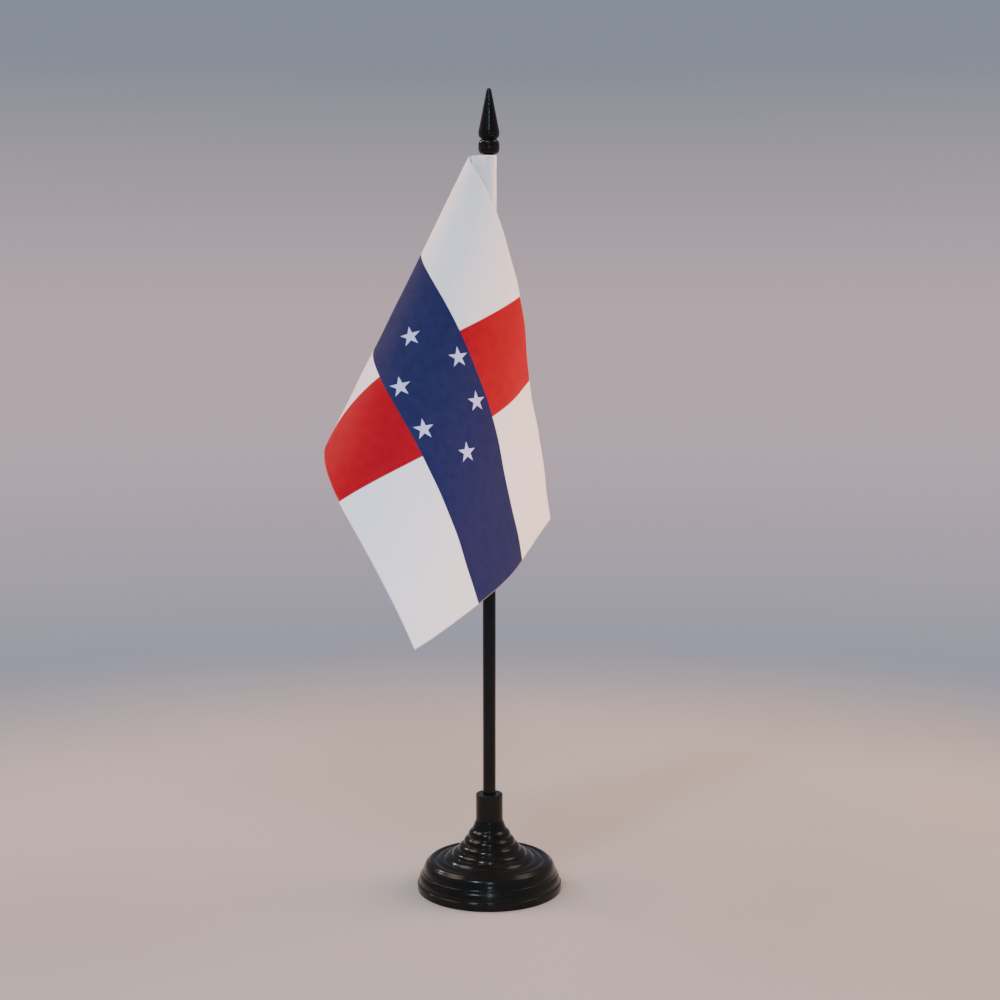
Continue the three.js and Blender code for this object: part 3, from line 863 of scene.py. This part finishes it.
def sleeve_cloth(material):
    """The sleeve, and the width of the flat strip that it is folded from."""
    route = sleeve_route()
    travel = travelled(route)
    rows = np.linspace(0, FLAG_HEIGHT / MM, SLEEVE_ROWS)
    plan = np.repeat(route, len(rows), axis=0)
    down = np.tile(rows, len(route))
    tangent = np.gradient(route, axis=0)
    tangent /= np.linalg.norm(tangent, axis=1)[:, None]
    outward = np.repeat(np.stack([tangent[:, 1], -tangent[:, 0]], 1), len(rows), axis=0)
    share = np.repeat(travel / travel[-1], len(rows))
    loose = np.sin(math.pi * share) ** 2
    swell = (0.05 * np.sin(down * 0.35 + 5 * share) + 0.05 * np.sin(down * 0.11 + 2)) * loose * MM
    swell += 0.03 * MM * np.sin(2 * math.pi * down / PUCKER_PITCH) * (1 - loose)
    swell = np.maximum(swell, -0.03 * MM)
    plan = plan + outward * swell[:, None]
    place = np.column_stack([plan, FLAG_TOP - down * MM])
    cut = np.column_stack([np.repeat(travel / MM, len(rows)) - SLEEVE_CUT_SHIFT, down])
    piece = sheet_object("sleeve_cloth", route, rows, place, cut, material)
    return piece, travel[-1]


# ---- Stitches ---------------------------------------------------------------------------------

STITCH_MARGIN = 1.6 * MM  # from the sleeve's ends to the first and last stitch


def stitch_tree():
    """Geometry nodes: lays short rounded stitches end to end down a line."""
    tree = bpy.data.node_groups.new("stitch_row", "GeometryNodeTree")
    tree.interface.new_socket("Row", in_out="INPUT", socket_type="NodeSocketGeometry")
    add_inputs(tree, (
        ("Stitch Pitch", "NodeSocketFloat", 2.2 * MM),
        ("Stitch Length", "NodeSocketFloat", 1.9 * MM),
        ("Thread Radius", "NodeSocketFloat", 0.15 * MM),
        ("Dip", "NodeSocketFloat", 0.22 * MM),
        ("Unevenness", "NodeSocketFloat", 0.04),
        ("Seed", "NodeSocketInt", 7),
        ("Material", "NodeSocketMaterial", None),
    ))
    tree.interface.new_socket("Stitches", in_out="OUTPUT", socket_type="NodeSocketGeometry")
    nodes = Nodes(tree)
    given, out = nodes.add("NodeGroupInput"), nodes.add("NodeGroupOutput")
    points = nodes.add("GeometryNodeCurveToPoints", {"mode": "LENGTH"},
                       Curve=given.outputs["Row"], Length=given.outputs["Stitch Pitch"])
    # One stitch is a shallow arch: its ends dive into the cloth.
    half = nodes.math("MULTIPLY", given.outputs["Stitch Length"], 0.5)
    back = nodes.math("MULTIPLY", half, -1.0)
    dip = nodes.math("MULTIPLY", given.outputs["Dip"], -1.0)
    start = nodes.add("ShaderNodeCombineXYZ", None, X=dip, Z=back).outputs[0]
    end = nodes.add("ShaderNodeCombineXYZ", None, X=dip, Z=half).outputs[0]
    rise = nodes.math("MULTIPLY", given.outputs["Dip"], 1.5)
    middle = nodes.add("ShaderNodeCombineXYZ", None, X=rise).outputs[0]
    arch = nodes.add("GeometryNodeCurveQuadraticBezier", None, Resolution=7,
                     Start=start, Middle=middle, End=end)
    ring = nodes.add("GeometryNodeCurvePrimitiveCircle", None, Resolution=7,
                     Radius=given.outputs["Thread Radius"])
    strand = nodes.add("GeometryNodeCurveToMesh", None, Curve=arch.outputs[0],
                       **{"Profile Curve": ring.outputs[0], "Fill Caps": True})
    wobble = nodes.add("FunctionNodeRandomValue", {"data_type": "FLOAT_VECTOR"},
                       Seed=given.outputs["Seed"])
    spread = given.outputs["Unevenness"]
    less = nodes.math("MULTIPLY", spread, -1.0)
    nodes.feed(wobble.inputs[0], nodes.add("ShaderNodeCombineXYZ", None, X=less, Y=less).outputs[0])
    nodes.feed(wobble.inputs[1], nodes.add("ShaderNodeCombineXYZ", None, X=spread, Y=spread).outputs[0])
    turn = nodes.add("FunctionNodeEulerToRotation", None, Euler=wobble.outputs[0])
    laid = nodes.add("GeometryNodeInstanceOnPoints", None, Points=points.outputs[0],
                     Instance=strand.outputs[0], Rotation=turn.outputs[0])
    real = nodes.add("GeometryNodeRealizeInstances", None, Geometry=laid.outputs[0])
    smooth = nodes.add("GeometryNodeSetShadeSmooth", None, Geometry=real.outputs[0])
    painted = nodes.add("GeometryNodeSetMaterial", None, Geometry=smooth.outputs[0],
                        Material=given.outputs["Material"])
    nodes.feed(out.inputs[0], painted.outputs[0])
    return tree


def stitch_row(name, tree, side, material, seed):
    """A row of stitches down the lip. side is -1 at the front and 1 at the back."""
    face = LEAF_OFFSET + CLOTH_THICKNESS / 2
    ends = [(0, 0, -STITCH_MARGIN), (0, 0, STITCH_MARGIN - FLAG_HEIGHT)]
    piece = made_by_nodes(name, ends, tree, Material=material, Seed=seed)
    # The stitches arch towards +X where they are made; here they arch out of the lip's face.
    piece.data.transform(Matrix.Rotation(side * math.pi / 2, 4, "Z"))
    piece.data.transform(Matrix.Translation((STITCH_X, side * face, FLAG_TOP)))
    face_outwards(piece)
    return piece


# ---- Build ------------------------------------------------------------------------------------

def dress(piece, body, slot, *nodes):
    """Attaches a piece to the body that it moves with and hides the parts of the frame that it stands
    for.
    """
    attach(piece, body)
    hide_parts(*nodes)
    return piece


base_black = gloss_plastic("base_plastic", (0.0030, 0.0034, 0.0029), roughness=0.15,
                           scratches=0.5, dust=0.10, ring_lines=0.30)
pole_black = gloss_plastic("pole_plastic", (0.0028, 0.0030, 0.0028), roughness=0.13,
                           scratches=0.6, dust=0.05)
finial_black = gloss_plastic("finial_plastic", (0.0036, 0.0034, 0.0032), roughness=0.17,
                             scratches=0.4, dust=0.08)
dress(ringed_base(base_black), "base", "base_plastic", "base_moulding")
dress(black_pole(pole_black), "pole", "pole_plastic", "pole")
dress(spear_finial(finial_black), "finial", "finial_plastic", "spear_finial")

flag = dress(flag_cloth(printed_flag()), "flag", "flag_cloth", "flag_panel")
sleeve, sleeve_strip = sleeve_cloth(white_cloth())
dress(sleeve, "flag", "sleeve_cloth", "pole_sleeve")

thread = sewing_thread()
rows = stitch_tree()
needle = stitch_row("needle_stitches", rows, side=-1, material=thread, seed=7)
bobbin = stitch_row("bobbin_stitches", rows, side=1, material=thread, seed=11)
dress(needle, "flag", "sewing_thread", "needle_thread")
dress(bobbin, "flag", "sewing_thread", "bobbin_thread")


# ---- Studio -----------------------------------------------------------------------------------

FLOOR_RADIUS = 1.2
FLOOR_SIDES = 96
FLOOR_FADES = (0.20, 0.52)  # distances from the middle between which the floor fades away
FLOOR_PALE = (0.342, 0.365, 0.385, 1)
FLOOR_PALE_DARKER = (0.318, 0.340, 0.360, 1)


def pale_floor():
    """A round tabletop that fades out, so that no edge or horizon shows from any side."""
    turns = np.linspace(0, 2 * math.pi, FLOOR_SIDES + 1)[:-1]
    rim = [(FLOOR_RADIUS * math.cos(turn), FLOOR_RADIUS * math.sin(turn), 0) for turn in turns]
    floor = add_object("studio_floor", rim, [tuple(range(len(rim)))], smooth=False)
    material, nodes, shader = new_material("pale_floor")
    place = nodes.add("ShaderNodeTexCoord").outputs["Object"]
    cloud = nodes.ramp(nodes.noise(place, 5.0, 3.0), 0.3, 0.7)
    nodes.feed(shader.inputs["Base Color"], nodes.mix(cloud, FLOOR_PALE_DARKER, FLOOR_PALE))
    shader.inputs["Roughness"].default_value = 0.7
    distance = nodes.add("ShaderNodeVectorMath", {"operation": "LENGTH"}, i0=place).outputs["Value"]
    nodes.feed(shader.inputs["Alpha"], nodes.ramp(distance, FLOOR_FADES[0], FLOOR_FADES[1], 1.0, 0.0))
    floor.data.materials.append(material)


def soft_light(name, around, height, size, power, colour, distance=1.1, aim=0.14, spread=180,
               mirrored=True):
    """An area light that looks at a point above the middle of the foot, aim metres up.

    around and height are degrees: round from the front towards the right, and up. A light that
    is not mirrored lights the cloth but leaves no reflection of itself in the gloss.
    """
    turn, rise = math.radians(around), math.radians(height)
    offset = Vector((math.sin(turn) * math.cos(rise), -math.cos(turn) * math.cos(rise), math.sin(rise)))
    data = bpy.data.lights.new(name, "AREA")
    data.shape = "RECTANGLE"
    data.size, data.size_y = size
    data.energy = power
    data.color = colour
    data.spread = math.radians(spread)
    light = bpy.data.objects.new(name, data)
    light.location = Vector((0, 0, aim)) + offset * distance
    light.rotation_euler = (-offset).to_track_quat("-Z", "Y").to_euler()
    light.visible_camera = False
    light.visible_glossy = mirrored
    bpy.context.scene.collection.objects.link(light)


# The colours of the surroundings, from straight down at 0 through level at 0.5 to straight up at 1.
BACKDROP_HEIGHTS = (
    (0.0, (0.30, 0.28, 0.28, 1)),
    (0.40, (0.34, 0.35, 0.44, 1)),
    (0.46, (0.58, 0.46, 0.52, 1)),
    (0.50, (0.60, 0.46, 0.51, 1)),
    (0.57, (0.25, 0.28, 0.34, 1)),
    (1.0, (0.15, 0.18, 0.23, 1)),
)


def backdrop():
    world = bpy.data.worlds.new("studio")
    world.use_nodes = True
    nodes = Nodes(world.node_tree)
    direction = nodes.add("ShaderNodeTexCoord").outputs["Generated"]
    height = nodes.add("ShaderNodeSeparateXYZ", None, Vector=direction).outputs["Z"]
    share = nodes.math("MULTIPLY_ADD", height, 0.5, 0.5)
    ramp = nodes.add("ShaderNodeValToRGB", None, Fac=share)
    stops = ramp.color_ramp.elements
    lowest, *between, highest = BACKDROP_HEIGHTS
    stops[0].color = lowest[1]
    stops[-1].color = highest[1]
    for at, colour in between:
        stops.new(at).color = colour
    background = world.node_tree.nodes["Background"]
    nodes.feed(background.inputs["Color"], ramp.outputs["Color"])
    background.inputs["Strength"].default_value = 1.0
    bpy.context.scene.world = world


def studio():
    pale_floor()
    backdrop()
    card = {"size": (1.0, 0.9), "distance": 0.9, "mirrored": False}
    glow = {"size": (0.5, 0.4), "height": 50}
    # Warm cards beside the cloth, and cool ones in front of it and of its top.
    soft_light("left_card", around=-104, height=16, power=15.5, colour=(1.0, 0.46, 0.31), **card)
    soft_light("right_card", around=106, height=16, power=27.0, colour=(1.0, 0.50, 0.27), **card)
    soft_light("front_card", around=3, height=-6, size=(0.30, 0.20), power=0.39,
               colour=(0.70, 0.78, 1.0), distance=0.5, aim=0.085, spread=46, mirrored=False)
    soft_light("top_card", around=14, height=34, size=(0.16, 0.16), power=0.05,
               colour=(0.30, 0.66, 1.0), distance=0.5, aim=0.25, spread=40, mirrored=False)
    # Lights whose reflections draw the shape of the black gloss.
    soft_light("left_glow", around=-100, power=4.5, colour=(1.0, 0.76, 0.64), **glow)
    soft_light("right_glow", around=100, power=2.6, colour=(1.0, 0.88, 0.70), **glow)
    soft_light("left_lamp", around=-32, height=50, size=(0.12, 0.12), power=4.6,
               colour=(0.86, 0.94, 1.0))
    soft_light("back_left_lamp", around=-122, height=32, size=(0.10, 0.10), power=1.8,
               colour=(1.0, 0.92, 0.86))
    soft_light("front_strip", around=2, height=40, size=(0.03, 0.34), power=1.6,
               colour=(0.62, 0.88, 1.0))
    soft_light("front_lamp", around=1, height=9, size=(0.03, 0.07), power=0.4,
               colour=(0.80, 0.94, 1.0))


studio()
